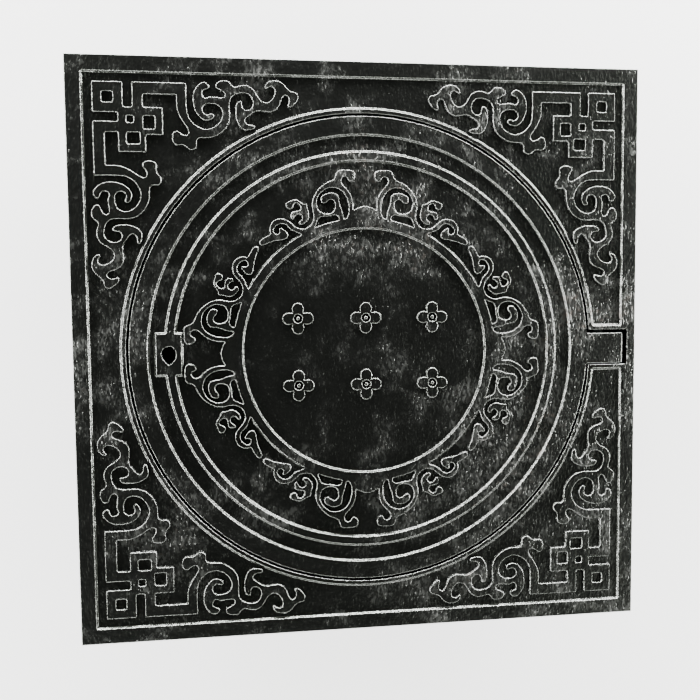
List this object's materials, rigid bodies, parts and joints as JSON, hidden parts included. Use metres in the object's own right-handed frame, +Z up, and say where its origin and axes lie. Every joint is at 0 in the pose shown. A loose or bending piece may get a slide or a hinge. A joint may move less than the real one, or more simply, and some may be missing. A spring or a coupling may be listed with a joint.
{
  "type": "manhole cover",
  "caption": "Round hinged cast iron manhole cover in a square frame, with cast scroll and fret ornament, a keyhole with a turn latch under it, and a rubber seat.",
  "frame": {"origin": "middle of the frame's base, on the bedding plane", "axes": "+Z up out of the road, +X from the middle towards the hinge, +Y along the hinge pin"},
  "size_m": [0.8, 0.8, 0.1],
  "materials": {
    "painted_iron": "glossy black bitumen paint over a sand-cast skin",
    "black_rubber": "matt moulded rubber",
    "galvanised_steel": "dull zinc coat",
    "spring_steel": "dark oiled"
  },
  "bodies": {
    "base": {"frame": "painted_iron", "seat_gasket": "black_rubber", "hinge_pin": "galvanised_steel", "split_pin_front": "galvanised_steel", "split_pin_rear": "galvanised_steel"},
    "lid": {"cover": "painted_iron", "latch_spring": "spring_steel", "latch_retainer": "galvanised_steel", "latch_stop_pin": "spring_steel", "latch_washer_front": "galvanised_steel", "latch_washer_rear": "galvanised_steel", "latch_bolt_front": "galvanised_steel", "latch_bolt_rear": "galvanised_steel"},
    "latch": {"turn_latch": "painted_iron"}
  },
  "joints": [
    {"name": "cover_hinge", "type": "hinge", "parent": "base", "child": "lid", "pos_m": [0.352, 0, 0.08], "axis": [0, 1, 0], "range_deg": [0, 100]},
    {"name": "latch_turn", "type": "hinge", "parent": "lid", "child": "latch", "pos_m": [-0.273, 0, 0.08], "axis": [0, 0, 1], "range_deg": [0, 90]}
  ]
}
